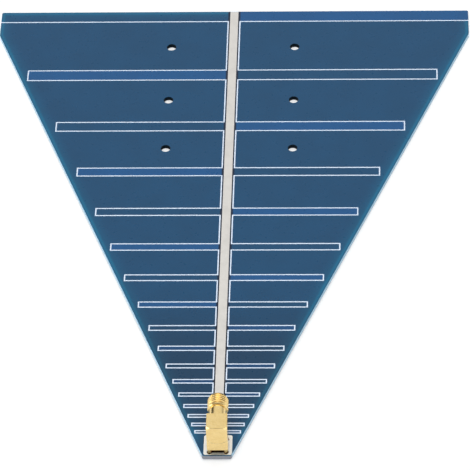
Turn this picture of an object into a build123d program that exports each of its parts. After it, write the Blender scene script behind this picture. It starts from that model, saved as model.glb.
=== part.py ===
from build123d import *
import math
import os

# Log-periodic dipole array on a printed board, with a right-angle coaxial socket at its tip.
# X runs across the board, Y from the narrow tip to the wide edge, Z up.
# The origin is under the middle of the board, level with the tips of the socket's legs.

# Board outline
board_length = 200.6
board_width = 160.7
tip_width = 8.6
shoulder_length = 11.6
tip_corner_radius = 0.8
board_corner_radius = 0.6

# Layers
laminate_thickness = 1.5
copper_thickness = 0.035
mask_over_laminate = 0.03
mask_over_copper = 0.03
mask_side_cover = 0.03
legend_thickness = 0.02
tin_thickness = 0.045
copper_edge_inset = 0.2

# Dipole arms, numbered from the wide edge
arm_count = 17
layout_ratio = 0.8586
layout_reach = 206.2
apex_inset = 8.4
arm_width_first = 5.0
edge_arm_width = 4.8
length_ratio = 0.8513
arm_length_first = 79.64
arm_length_base = 0.61
arm_length_trims = (0, 0.5, -0.6, -0.35, -0.2, 0.3, 0.45)

# Feed line
line_width = 3.54
line_tin_width = 2.76
narrow_line_width = 1.8

# Legend
legend_gap = 0.25
legend_line_width = 0.4

# Mounting holes, in two columns of three, the rows counted from the wide edge
mount_hole_diameter = 3.2
mount_column_spacing = 42.0
mount_edge_distance = 18.0
mount_row_spacings = (26.2, 23.2)

# Tip pad, with the socket's small shift to the right of the feed line
socket_offset = 0.27
pad_width = 8.6
pad_length = 7.8
pad_edge_gap = 0.4
pad_corner_radius = 0.6
mask_relief = 0.1
solder_dam = 0.8

# Socket block, neck and barrel
block_width = 6.35
block_depth = 6.2
block_height = 10.4
block_edge_gap = 0.75
block_chamfer = 0.15
turned_face_radius = 4.1
turned_face_height = 0.3
turned_face_chamfer = 0.3
turning_overrun = 0.2
standoff = 1.3
axis_below_top = 3.4
neck_diameter = 5.2
neck_length = 3.9
shoulder_chamfer_length = 0.15
barrel_diameter = 6.35
barrel_length = 4.9
barrel_end_chamfer = 0.35

# Socket legs and their holes
leg_pitch = 5.08
leg_width = 0.85
leg_protrusion = 0.5
leg_hole_diameter = 1.6
pin_hole_diameter = 1.6
plating_thickness = 0.05
leg_land_width = 2.3
pin_land_diameter = 2.4
pin_clearance = 0.5

# Inside of the socket
mouth_diameter = 4.6
mouth_depth = 1.9
bore_diameter = 4.13
contact_diameter = 1.27
contact_bore_diameter = 0.94
contact_bore_depth = 2.9
contact_slot_width = 0.15
contact_slot_length = 2.4
contact_overrun = 0.9
pin_diameter = 1.0
spigot_diameter = 0.6
insulator_corner_gap = 0.1

# Solder
joint_foot_margin = 0.05
joint_height = 0.42
joint_tip_margin = 0.08

# Levels, from the tips of the legs up
board_bottom = leg_protrusion
core_bottom = board_bottom + copper_thickness + mask_over_copper
core_top = core_bottom + laminate_thickness
board_top = core_top + copper_thickness + mask_over_copper
block_bottom = board_top + standoff
block_top = block_bottom + block_height
axis_height = block_top - axis_below_top
land_level = core_bottom - copper_thickness

# Places along Y
tip_y = -board_length / 2
wide_y = board_length / 2
shoulder_y = wide_y - shoulder_length
block_back_y = tip_y + block_edge_gap
block_front_y = block_back_y + block_depth
foot_back_y = block_back_y + turned_face_height
pin_y = (foot_back_y + block_front_y) / 2
barrel_back_y = block_front_y + neck_length
barrel_front_y = barrel_back_y + barrel_length
mouth_y = barrel_front_y - mouth_depth
pad_back_y = tip_y + pad_edge_gap
pad_front_y = pad_back_y + pad_length
line_tin_y = pad_front_y + solder_dam
pin_place = (socket_offset, pin_y)
leg_places = [
    (socket_offset + side * leg_pitch / 2, pin_y + end * leg_pitch / 2) for side in (-1, 1) for end in (-1, 1)
]

RIGHT = 1
LEFT = -1


def rectangle(x_low, x_high, y_low, y_high):
    """A flat rectangle between two corners."""
    middle = Pos((x_low + x_high) / 2, (y_low + y_high) / 2)
    return middle * Rectangle(x_high - x_low, y_high - y_low)


def sheet(sketch, low, high):
    """The sketch as a solid between two levels."""
    return extrude(Pos(0, 0, low) * sketch, amount=high - low)


def board_outline(inset=0.0):
    """The tapered outline, shrunk by an inset, with rounded corners."""
    half = board_width / 2
    tip = tip_width / 2
    corners = [
        (-tip, tip_y),
        (tip, tip_y),
        (half, shoulder_y),
        (half, wide_y),
        (-half, wide_y),
        (-half, shoulder_y),
    ]
    face = make_face(Polyline(*corners, close=True))
    face = fillet(face.vertices().sort_by(Axis.Y)[:2], tip_corner_radius)
    face = fillet(face.vertices().sort_by(Axis.Y)[-4:], board_corner_radius)
    if inset > 0:
        face = offset(face, amount=-inset, kind=Kind.INTERSECTION)
    return face


def arm_centre(number):
    """Distance law of the array: each arm is a fixed ratio nearer to the apex than the one before."""
    return tip_y + layout_reach * layout_ratio ** (number - 1) - apex_inset


def arm_width(number):
    return arm_width_first * layout_ratio ** (number - 1)


def arm_half_length(number):
    """Length law of the array, with the small trims of its longest arms."""
    trim = arm_length_trims[number - 1] if number <= len(arm_length_trims) else 0
    return arm_length_first * length_ratio ** (number - 1) + arm_length_base + trim


def arm(number, side, grow=0.0):
    """One arm's strip from the middle of the feed line to its end, widened by grow."""
    if number == 1:
        return edge_arm(side, grow)
    low = arm_centre(number) - arm_width(number) / 2 - grow
    high = arm_centre(number) + arm_width(number) / 2 + grow
    reach = arm_half_length(number) + grow
    return rectangle(*sorted((0, side * reach)), low, high)


def edge_arm(side, grow=0.0):
    """The first arm runs along the wide edge, from side to side of the board."""
    low = wide_y - edge_arm_width - grow
    return rectangle(*sorted((0, side * board_width / 2)), low, wide_y)


def arms(first_side, grow=0.0):
    """Arms on alternating sides, the first of them on first_side, as far as the board holds them."""
    highest = wide_y - edge_arm_width
    numbers = [1] + [number for number in range(2, arm_count + 1) if arm_centre(number) < highest]
    return [arm(number, first_side * (-1) ** (number - 1), grow) for number in numbers]


def last_arm_edge():
    return arm_centre(arm_count) - arm_width(arm_count) / 2


def feed_line(low_y, grow=0.0):
    """The line down the middle, from low_y to the wide edge."""
    return rectangle(-line_width / 2 - grow, line_width / 2 + grow, low_y - grow, wide_y)


def round_spots(places, radius):
    """Discs of one radius at several places."""
    return Sketch() + [Pos(x, y) * Circle(radius) for x, y in places]


def mount_places():
    """Hole centres, row by row from the wide edge."""
    first = wide_y - mount_edge_distance
    rows = [first - sum(mount_row_spacings[:count]) for count in range(len(mount_row_spacings) + 1)]
    return [(side * mount_column_spacing / 2, y) for y in rows for side in (LEFT, RIGHT)]


def tip_pad(grow=0.0):
    """The rectangular pad under the socket, with rounded corners."""
    width = pad_width + 2 * grow
    length = pad_length + 2 * grow
    pad = RectangleRounded(width, length, pad_corner_radius + grow)
    return Pos(socket_offset, (pad_back_y + pad_front_y) / 2) * pad


def line_window():
    """Bare part of the feed line, from the solder dam to the wide edge."""
    return rectangle(-line_tin_width / 2, line_tin_width / 2, line_tin_y, wide_y)


def top_tracks(grow=0.0):
    """Feed line and the arms of the top face."""
    return feed_line(pad_front_y, grow) + arms(RIGHT, grow)


def bottom_tracks(grow=0.0):
    """Feed line and the arms of the bottom face, narrowed between the front legs to reach the signal pin."""
    half = narrow_line_width / 2 + grow
    neck = rectangle(socket_offset - half, socket_offset + half, pin_y, last_arm_edge())
    return feed_line(last_arm_edge(), grow) + neck + arms(LEFT, grow)


def leg_spots():
    """Finished holes of the four legs."""
    return round_spots(leg_places, leg_hole_diameter / 2)


def pin_spot(grow=0.0):
    """Finished hole of the signal pin, widened by grow."""
    return round_spots([pin_place], pin_hole_diameter / 2 + grow)


def drilled_holes():
    """Every hole that the plating lines, as drilled."""
    return round_spots(leg_places, leg_hole_diameter / 2 + plating_thickness) + pin_spot(plating_thickness)


def leg_lands(grow=0.0):
    """Square lands of the legs on the bottom face."""
    side = leg_land_width + 2 * grow
    return Sketch() + [Pos(x, y) * Rectangle(side, side) for x, y in leg_places]


def pin_land(grow=0.0):
    """Round land of the signal pin on the bottom face."""
    return round_spots([pin_place], pin_land_diameter / 2 + grow)


def inside_board(sketch):
    """What of a copper or tin area keeps its distance from the board's edge."""
    return sketch & board_outline(copper_edge_inset)


def pad_area():
    """The tip pad without the legs' holes and the clear ring round the signal pin."""
    return inside_board(tip_pad()) - leg_spots() - pin_spot(plating_thickness + pin_clearance)


def laminate():
    holes = drilled_holes() + round_spots(mount_places(), mount_hole_diameter / 2)
    return sheet(board_outline() - holes, core_bottom, core_top)


def copper_top():
    """Grounded conductor: top tracks and pad, with the plated holes of the legs and their lands below."""
    top = (inside_board(top_tracks()) - tip_pad()) + pad_area()
    walls = round_spots(leg_places, leg_hole_diameter / 2 + plating_thickness) - leg_spots()
    conductor = sheet(top, core_top, core_top + copper_thickness)
    conductor += sheet(walls, land_level, core_top)
    return conductor + sheet(leg_lands() - leg_spots(), land_level, core_bottom)


def copper_bottom():
    """Signal conductor: bottom tracks with the plated hole of the pin."""
    area = (inside_board(bottom_tracks()) + pin_land()) - pin_spot()
    walls = pin_spot(plating_thickness) - pin_spot()
    return sheet(area, land_level, core_bottom) + sheet(walls, land_level, core_top)


def solder_mask(tracks, raised, windows, face_level, outward):
    """A coat on one face of the core, stepped up over the tracks, open at the windows."""
    openings = windows + line_window() + round_spots(mount_places(), mount_hole_diameter / 2)

    def levels(height):
        return sorted((face_level, face_level + outward * height))

    coat = sheet(board_outline() - openings, *levels(mask_over_laminate))
    coat += sheet((raised & board_outline()) - openings, *levels(copper_thickness + mask_over_copper))
    return coat - sheet(inside_board(tracks), *levels(copper_thickness))


def solder_mask_top():
    window = tip_pad(mask_relief)
    return solder_mask(top_tracks(), top_tracks(mask_side_cover), window, core_top, 1)


def solder_mask_bottom():
    windows = leg_lands(mask_relief) + pin_land(mask_relief)
    return solder_mask(bottom_tracks(), bottom_tracks(mask_side_cover), windows, core_bottom, -1)


def tin(area, face_level, outward):
    """Tin on the bare copper, a little proud of the mask."""
    base = face_level + outward * copper_thickness
    return sheet(area, *sorted((base, base + outward * tin_thickness)))


def all_outlines(grow):
    """Feed line and the arms of both faces, as one comb-shaped area."""
    return feed_line(last_arm_edge(), grow) + arms(RIGHT, grow) + arms(LEFT, grow)


def legend():
    """White outline round the feed line and every arm of both faces."""
    line_half = legend_line_width / 2
    outer = all_outlines(legend_gap + line_half)
    inner = all_outlines(legend_gap - line_half) + feed_line(pad_front_y, legend_gap - line_half)
    lines = ((outer - inner) & board_outline()) - tip_pad(mask_relief)
    base = core_top + mask_over_laminate
    return sheet(lines, base, base + legend_thickness)


def along_y(solid, y):
    """A solid modelled along Z, laid along Y on the socket's axis with its base at y."""
    return Pos(socket_offset, y, axis_height) * Rot(-90, 0, 0) * solid


def upright(solid, level=0.0):
    """A solid modelled along Z, stood on the signal pin's line with its base at a level."""
    return Pos(socket_offset, pin_y, level) * solid


def cylinder_from_base(radius, height):
    return Cylinder(radius, height, align=(Align.CENTER, Align.CENTER, Align.MIN))


def cone_from_base(base_radius, end_radius, height):
    return Cone(base_radius, end_radius, height, align=(Align.CENTER, Align.CENTER, Align.MIN))


def turning_waste(depth, height):
    """What turning the rear face takes off the top height of the block, down to a depth behind that face."""
    slope = turned_face_chamfer / turned_face_height
    back_radius = turned_face_radius - turned_face_chamfer
    slab = Pos(socket_offset, block_back_y + depth / 2, block_top - height / 2) * Box(block_width, depth, height)
    return slab - along_y(cone_from_base(back_radius, back_radius + slope * depth, depth), block_back_y)


def socket_block():
    """Rectangular block with broken edges and a turned rear face, whose cone also takes off the two upper corners."""
    middle = (block_bottom + block_top) / 2
    block = Pos(socket_offset, (block_back_y + block_front_y) / 2, middle) * Box(block_width, block_depth, block_height)
    block = chamfer(block.edges(), block_chamfer)
    corner_reach = math.hypot(block_width / 2, axis_below_top) - turned_face_radius + turning_overrun
    corner_depth = turned_face_height * (1 + corner_reach / turned_face_chamfer)
    block -= turning_waste(turned_face_height, block_height)
    return block - turning_waste(corner_depth, axis_below_top)


def socket_barrel():
    """Neck, chamfered shoulder and the barrel that carries the thread."""
    neck_radius = neck_diameter / 2
    barrel_radius = barrel_diameter / 2
    straight = barrel_length - shoulder_chamfer_length - barrel_end_chamfer
    shoulder_end_y = barrel_back_y + shoulder_chamfer_length
    neck = along_y(cylinder_from_base(neck_radius, neck_length), block_front_y)
    shoulder = along_y(cone_from_base(neck_radius, barrel_radius, shoulder_chamfer_length), barrel_back_y)
    barrel = along_y(cylinder_from_base(barrel_radius, straight), shoulder_end_y)
    end = along_y(
        cone_from_base(barrel_radius, barrel_radius - barrel_end_chamfer, barrel_end_chamfer),
        barrel_front_y - barrel_end_chamfer,
    )
    return neck + shoulder + barrel + end


def socket_legs():
    """Four square legs from the block's underside to below the board."""
    height = block_bottom
    leg = Box(leg_width, leg_width, height, align=(Align.CENTER, Align.CENTER, Align.MIN))
    return [Pos(x, y, 0) * leg for x, y in leg_places]


def connector_body():
    """The turned and milled body, bored along the barrel and down from the corner."""
    bore_radius = bore_diameter / 2
    bore_back_y = pin_y - bore_radius
    body = socket_block() + socket_barrel() + socket_legs()
    body -= along_y(cylinder_from_base(bore_radius, barrel_front_y - bore_back_y), bore_back_y)
    body -= along_y(cylinder_from_base(mouth_diameter / 2, mouth_depth), mouth_y)
    return body - upright(cylinder_from_base(bore_radius, axis_height - block_bottom), block_bottom)


def barrel_insulator():
    """Sleeve from the mating plane back to the corner, open where the tail pin passes."""
    back_y = pin_y + bore_diameter / 2 + insulator_corner_gap
    sleeve = along_y(cylinder_from_base(bore_diameter / 2, mouth_y - back_y), back_y)
    return sleeve - along_y(cylinder_from_base(contact_diameter / 2, mouth_y - back_y), back_y)


def tail_insulator():
    """Sleeve in the downward bore, flush with the block's underside."""
    height = axis_height - bore_diameter / 2 - insulator_corner_gap - block_bottom
    sleeve = cylinder_from_base(bore_diameter / 2, height) - cylinder_from_base(pin_diameter / 2, height)
    return upright(sleeve, block_bottom)


def socket_contact():
    """Round contact with a slotted bore in front and a cross hole for the tail pin's spigot."""
    back_y = pin_y - contact_overrun
    length = mouth_y - back_y
    contact = along_y(cylinder_from_base(contact_diameter / 2, length), back_y)
    contact -= along_y(
        cylinder_from_base(contact_bore_diameter / 2, contact_bore_depth), mouth_y - contact_bore_depth
    )
    slot_place = Pos(socket_offset, mouth_y - contact_slot_length / 2, axis_height)
    contact -= slot_place * Box(contact_slot_width, contact_slot_length, contact_diameter)
    contact -= slot_place * Box(contact_diameter, contact_slot_length, contact_slot_width)
    cross_hole = cylinder_from_base(spigot_diameter / 2, contact_diameter)
    return contact - upright(cross_hole, axis_height - contact_diameter / 2)


def tail_pin():
    """Pin from the board's underside up to the contact, with a thin spigot at its top."""
    shank_top = axis_height - contact_diameter / 2 - insulator_corner_gap
    shank = cylinder_from_base(pin_diameter / 2, shank_top)
    spigot = cylinder_from_base(spigot_diameter / 2, axis_height + contact_diameter / 2 - shank_top)
    return upright(shank) + upright(spigot, shank_top)


def leg_joints():
    """One four-sided joint on each square land, under the board."""
    foot = leg_land_width - 2 * joint_foot_margin
    taper = math.degrees(math.atan((foot / 2 - leg_width / 2 - joint_tip_margin) / joint_height))
    joint = extrude(Rectangle(foot, foot), amount=joint_height, taper=taper) - Box(leg_width, leg_width, 2 * joint_height)
    return Compound(children=[Pos(x, y, land_level) * Rot(180, 0, 0) * joint for x, y in leg_places])


def pin_joint():
    """The signal pin's joint, a cone on the round land."""
    foot = pin_land_diameter / 2 - joint_foot_margin
    tip = pin_diameter / 2 + joint_tip_margin
    joint = cone_from_base(foot, tip, joint_height) - cylinder_from_base(pin_diameter / 2, joint_height)
    return upright(Rot(180, 0, 0) * joint, land_level)


def save(shape, name):
    export_step(shape, f"parts/{name}.step")


os.makedirs("parts", exist_ok=True)
save(laminate(), "laminate_core")
save(copper_top(), "copper_top")
save(copper_bottom(), "copper_bottom")
save(solder_mask_top(), "solder_mask_top")
save(solder_mask_bottom(), "solder_mask_bottom")
save(legend(), "legend_top")
save(tin(inside_board(line_window()), core_top, 1), "line_tin_top")
save(tin(inside_board(line_window()), core_bottom, -1), "line_tin_bottom")
save(tin(pad_area(), core_top, 1), "pad_tin_top")
save(connector_body(), "connector_body")
save(barrel_insulator(), "barrel_insulator")
save(tail_insulator(), "tail_insulator")
save(socket_contact(), "socket_contact")
save(tail_pin(), "tail_pin")
save(leg_joints(), "leg_solder_joints")
save(pin_joint(), "pin_solder_joint")
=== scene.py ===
"""Dresses a printed log-periodic dipole antenna with a right-angle coaxial socket at its tip.

Sizes are in millimetres until they reach a mesh or a shader, where they become metres.
X runs across the board, Y from the narrow tip to the wide edge, Z up.
"""

from __future__ import annotations

import logging
import math
from collections.abc import Callable, Sequence
from dataclasses import dataclass, field
from enum import Enum
from functools import cached_property

import bmesh
import bpy
from mathutils import Matrix, Vector

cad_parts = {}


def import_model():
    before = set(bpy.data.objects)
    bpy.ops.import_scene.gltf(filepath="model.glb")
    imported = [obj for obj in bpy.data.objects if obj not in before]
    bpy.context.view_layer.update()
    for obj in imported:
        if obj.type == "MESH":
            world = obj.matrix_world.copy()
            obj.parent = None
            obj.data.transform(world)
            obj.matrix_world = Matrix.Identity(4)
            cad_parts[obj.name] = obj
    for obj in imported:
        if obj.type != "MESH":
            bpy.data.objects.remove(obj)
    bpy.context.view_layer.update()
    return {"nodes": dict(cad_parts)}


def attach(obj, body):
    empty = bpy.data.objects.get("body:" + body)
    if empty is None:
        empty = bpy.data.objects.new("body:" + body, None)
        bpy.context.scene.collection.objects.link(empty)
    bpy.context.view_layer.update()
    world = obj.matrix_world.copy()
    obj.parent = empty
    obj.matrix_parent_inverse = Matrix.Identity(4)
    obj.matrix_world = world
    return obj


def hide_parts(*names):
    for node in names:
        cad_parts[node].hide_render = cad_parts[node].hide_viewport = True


MM = 0.001
BODY = "root"
WHITE = "FFFFFF"
log = logging.getLogger("antenna")

Node = bpy.types.Node
Socket = bpy.types.NodeSocket
Tree = bpy.types.NodeTree
Piece = bpy.types.Object
Form = bmesh.types.BMesh
Corner = bmesh.types.BMVert

# Corners closer than this are one, in metres.
WELD_DISTANCE = 1e-7

# Noise values seldom lie outside this span.
NOISE_SPAN = (0.3, 0.7)

# How much weaker each finer octave of a noise is.
OCTAVE_SHARE = 0.55

# Settings of the nodes that are used most. A mix takes its share at socket 0, and what it mixes at 6 and 7
# where these are colours, or at 2 and 3 where they are values.
SMOOTH = {"interpolation_type": "SMOOTHSTEP"}
COLOUR_MIX = {"at": (0, 6, 7), "out": 2, "data_type": "RGBA"}
VALUE_MIX = {"at": (0, 2, 3), "data_type": "FLOAT"}
BUMP = {"at": ("Strength", "Distance", "Height")}


class Join(Enum):
    """Ways of combining two closed solids."""

    ADD = "UNION"
    CUT = "DIFFERENCE"


class Follow(Enum):
    """What a pattern follows."""

    PIECE = "Object"
    DIRECTION = "Generated"


def metres(lengths: Sequence[float]) -> list[float]:
    """Turns lengths in millimetres into metres."""
    return [length * MM for length in lengths]


def linear(hex_colour: str) -> tuple[float, float, float, float]:
    """Turns an sRGB colour into the linear colour that shaders use.

    Args:
        hex_colour: six hexadecimal digits, red first.

    Returns:
        Red, green, blue and an alpha of 1.
    """
    parts = [int(hex_colour[place : place + 2], 16) / 255 for place in (0, 2, 4)]
    turned = [part / 12.92 if part <= 0.04045 else ((part + 0.055) / 1.055) ** 2.4 for part in parts]
    return (turned[0], turned[1], turned[2], 1.0)


def new_piece(name: str, form: Form) -> Piece:
    """Turns a finished bmesh into an object of the scene, faces outwards.

    Args:
        name: name of the piece.
        form: its shape, which is freed.

    Returns:
        The new object, at the origin.
    """
    bmesh.ops.remove_doubles(form, verts=form.verts, dist=WELD_DISTANCE)
    bmesh.ops.recalc_face_normals(form, faces=form.faces)
    mesh = bpy.data.meshes.new(name)
    form.to_mesh(mesh)
    form.free()
    piece = bpy.data.objects.new(name, mesh)
    bpy.context.scene.collection.objects.link(piece)
    return piece


def combine(piece: Piece, tool: Piece, how: Join) -> None:
    """Combines a piece with a second solid, which is used up.

    Args:
        piece: the solid that stays.
        tool: the solid that is added or cut out.
        how: the kind of combination.
    """
    step = piece.modifiers.new("combine", "BOOLEAN")
    step.operation = how.value
    step.solver = "EXACT"
    step.object = tool
    settled = piece.evaluated_get(bpy.context.evaluated_depsgraph_get())
    mesh = bpy.data.meshes.new_from_object(settled)
    piece.modifiers.clear()
    used = (piece.data, tool.data)
    piece.data = mesh
    bpy.data.objects.remove(tool)
    for spent in used:
        bpy.data.meshes.remove(spent)


def shade(piece: Piece, crease_angle: float = 32.0) -> None:
    """Smooths a piece's shading except across creases.

    Args:
        piece: the piece.
        crease_angle: angle between two faces, in degrees, past which their edge stays sharp.
    """
    form = bmesh.new()
    form.from_mesh(piece.data)
    for face in form.faces:
        face.smooth = True
    for edge in form.edges:
        edge.smooth = len(edge.link_faces) == 2 and edge.calc_face_angle(0.0) < math.radians(crease_angle)
    form.to_mesh(piece.data)
    form.free()
    weighting = piece.modifiers.new("weighted normals", "WEIGHTED_NORMAL")
    weighting.keep_sharp = True


def box_form(
    size: tuple[float, float, float], centre: tuple[float, float, float], edge: float = 0.0
) -> Form:
    """Makes a box with chamfered edges.

    Args:
        size: its three sides in millimetres.
        centre: its middle in millimetres.
        edge: chamfer of the edges in millimetres.

    Returns:
        The box in metres.
    """
    form = bmesh.new()
    bmesh.ops.create_cube(form, size=MM)
    bmesh.ops.scale(form, vec=size, verts=form.verts)
    if edge > 0:
        bmesh.ops.bevel(
            form, geom=form.edges[:], offset=edge * MM, segments=1, profile=0.5, affect="EDGES", material=-1
        )
    bmesh.ops.translate(form, vec=Vector(centre) * MM, verts=form.verts)
    return form


def turned_form(profile: list[tuple[float, float]], steps: int) -> Form:
    """Makes a solid of revolution round the Y axis.

    Args:
        profile: radius and place along Y of each corner, in millimetres, from one end to the other.
        steps: number of steps in the full turn.

    Returns:
        The closed solid in metres, on the Y axis.
    """
    form = bmesh.new()
    corners = [form.verts.new((radius * MM, along * MM, 0)) for radius, along in profile]
    for first, second in zip(corners, corners[1:]):
        form.edges.new((first, second))
    bmesh.ops.spin(
        form,
        geom=form.verts[:] + form.edges[:],
        cent=(0, 0, 0),
        axis=(0, 1, 0),
        angle=math.tau,
        steps=steps,
        use_merge=True,
        use_duplicate=False,
    )
    bmesh.ops.remove_doubles(form, verts=form.verts, dist=WELD_DISTANCE)
    return form


def square_corners(middle: tuple[float, float], side: float) -> list[tuple[float, float]]:
    """Places four things at the corners of a square on the board.

    Args:
        middle: X and Y of the square's middle.
        side: its side.

    Returns:
        X and Y of each corner, the two on the left first.
    """
    halves = (-0.5, 0.5)
    return [(middle[0] + across * side, middle[1] + along * side) for across in halves for along in halves]


@dataclass
class Pattern:
    """A shader and the node tree that its pattern is drawn in.

    Attributes:
        tree: the node tree.
        shader: the shader that the pattern feeds.
        follow: what the pattern follows.
        noises: the noises drawn so far, by grain.
    """

    tree: Tree
    shader: Node
    follow: Follow
    noises: dict[Grain, Socket] = field(default_factory=dict)

    @cached_property
    def place(self) -> Socket:
        """The coordinates of the point that is drawn."""
        return self.add("TexCoord", out=self.follow.value)

    @cached_property
    def parts(self) -> bpy.types.bpy_prop_collection:
        """The coordinates one by one, by the names of the axes."""
        return self.add("SeparateXYZ", self.place).node.outputs

    def add(
        self,
        kind: str,
        *values: Socket | float | str | Sequence[float],
        at: Sequence[int | str] = (),
        out: int | str = 0,
        **settings: object,
    ) -> Socket:
        """Adds one node with its settings and links.

        Args:
            kind: type of the node, without the word ShaderNode.
            *values: what its sockets take: another node's output, a number, a vector or an sRGB colour.
            at: the sockets that take them, where they aren't the first ones.
            out: the output that is wanted.
            **settings: the node's own properties.

        Returns:
            The wanted output.
        """
        node = self.tree.nodes.new(f"ShaderNode{kind}")
        for name, setting in settings.items():
            setattr(node, name, setting)
        for place, value in zip(at or range(len(values)), values):
            if isinstance(value, Socket):
                self.tree.links.new(value, node.inputs[place])
            else:
                node.inputs[place].default_value = linear(value) if isinstance(value, str) else value
        return node.outputs[out]

    def feed(self, socket: str, value: Socket) -> None:
        """Links a value to one of the shader's sockets."""
        self.tree.links.new(value, self.shader.inputs[socket])


@dataclass(frozen=True)
class Grain:
    """Grains of a real size, drawn as a noise.

    Attributes:
        size: size of a grain.
        detail: number of finer octaves in it.
        stretch: how much finer it is along each axis.
    """

    size: float
    detail: float = 3.0
    stretch: tuple[float, float, float] = (1.0, 1.0, 1.0)

    def noise(self, pattern: Pattern) -> Socket:
        """Draws the noise, once in each pattern.

        Args:
            pattern: the pattern that takes it.

        Returns:
            Its value, about 0.5 in the mean.
        """
        if self not in pattern.noises:
            spread = pattern.add("Mapping", pattern.place, self.stretch, at=("Vector", "Scale"))
            scale = 1 / (self.size * MM)
            sockets = ("Vector", "Scale", "Detail", "Roughness")
            pattern.noises[self] = pattern.add(
                "TexNoise", spread, scale, self.detail, OCTAVE_SHARE, at=sockets
            )
        return pattern.noises[self]

    def between(
        self, pattern: Pattern, low: float, high: float, span: tuple[float, float] = NOISE_SPAN
    ) -> Socket:
        """Draws the noise as a value that goes smoothly from one number to another.

        Args:
            pattern: the pattern that takes it.
            low: the value where the noise is below its span.
            high: the value where it is above its span.
            span: the span of the noise over which the value changes.

        Returns:
            The value.
        """
        return pattern.add("MapRange", self.noise(pattern), *span, low, high, **SMOOTH)


@dataclass(frozen=True)
class Patches:
    """Soft patches of a second colour.

    Attributes:
        colour: their sRGB colour.
        grain: their size.
        share: how far they cover the first colour, at most.
        span: the span of the noise over which they come up.
    """

    colour: str
    grain: Grain
    share: float
    span: tuple[float, float] = NOISE_SPAN

    def over(self, pattern: Pattern, ground: Socket | str) -> Socket:
        """Draws the patches over a colour.

        Args:
            pattern: the pattern that takes them.
            ground: the colour under them.

        Returns:
            The colour with its patches.
        """
        strength = self.grain.between(pattern, 0.0, self.share, self.span)
        return pattern.add("Mix", strength, ground, self.colour, **COLOUR_MIX)


@dataclass(frozen=True)
class Gloss:
    """A roughness that changes from grain to grain.

    Attributes:
        grain: the size of the changes.
        smoothest: the lowest roughness.
        roughest: the highest roughness.
        span: the span of the noise over which it rises.
    """

    grain: Grain
    smoothest: float
    roughest: float
    span: tuple[float, float] = NOISE_SPAN

    def drawn(self, pattern: Pattern) -> Socket:
        """Draws the roughness."""
        return self.grain.between(pattern, self.smoothest, self.roughest, self.span)


@dataclass(frozen=True)
class Relief:
    """A fine unevenness of the surface.

    Attributes:
        grain: its size.
        depth: its height.
        strength: share of it that shows.
    """

    grain: Grain
    depth: float
    strength: float = 1.0

    def drawn(self, pattern: Pattern, height: Socket) -> Socket:
        """Draws the surface's normal for a height from 0 to 1."""
        return pattern.add("Bump", self.strength, self.depth * MM, height, **BUMP)


# Long marks of the router and the drill, along the thickness of the board.
ROUTER_MARKS = Grain(0.25, 2.0, (1.0, 1.0, 0.15))

# Rings and strokes of the cutter on the socket's brass, which the plating keeps. They are drawn coarser than
# the real ones, which are too fine to show.
CUTTER_MARKS = Grain(0.07, 2.0, (0.12, 1.0, 0.12))

# Crystals of the tin, and the waves that the hot air left in it.
TIN_CRYSTALS = Grain(0.3)
TIN_WAVES = Grain(3.0, 1.0, (1.0, 0.5, 1.0))

# Frosted patches on a joint that froze.
SOLDER_FROST = Grain(0.35)


@dataclass(frozen=True)
class Finish:
    """A finish: a principled shader whose constants, patches, gloss and relief are its fields.

    Attributes:
        name: real name of the material and how its surface was made.
        colour: sRGB colour as six hexadecimal digits.
        roughness: mean roughness.
        metallic: 1 for bare metal.
        index: index of refraction, which a metal leaves at the default.
        patches: patches of its second colour.
        gloss: how its roughness changes.
        relief: its fine unevenness.
    """

    name: str
    colour: str
    roughness: float
    metallic: float = 0.0
    index: float = 1.5
    patches: Patches | None = None
    gloss: Gloss | None = None
    relief: Relief | None = None

    def material(self) -> bpy.types.Material:
        """Makes the material.

        Returns:
            The finished material, with its pattern in Object coordinates.
        """
        made = bpy.data.materials.new(self.name)
        made.use_nodes = True
        made.diffuse_color = linear(self.colour)
        tree = made.node_tree
        shader = tree.nodes["Principled BSDF"]
        for socket, value in self.constants().items():
            shader.inputs[socket].default_value = value
        pattern = Pattern(tree, shader, Follow.PIECE)
        pattern.feed("Base Color", self.coloured(pattern))
        if self.gloss:
            pattern.feed("Roughness", self.gloss.drawn(pattern))
        if self.relief:
            pattern.feed("Normal", self.relief.drawn(pattern, self.height(pattern)))
        return made

    def constants(self) -> dict[str, float | tuple[float, ...]]:
        """Names the shader's sockets whose values are the same all over.

        Returns:
            The value of each of them.
        """
        return {
            "Base Color": linear(self.colour),
            "Roughness": self.roughness,
            "Metallic": self.metallic,
            "IOR": self.index,
        }

    def coloured(self, pattern: Pattern) -> Socket:
        """Draws the colour, with patches of the second one."""
        return self.patches.over(pattern, self.colour)

    def height(self, pattern: Pattern) -> Socket:
        """Draws the height of the relief, from 0 to 1."""
        return self.relief.grain.noise(pattern)


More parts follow.
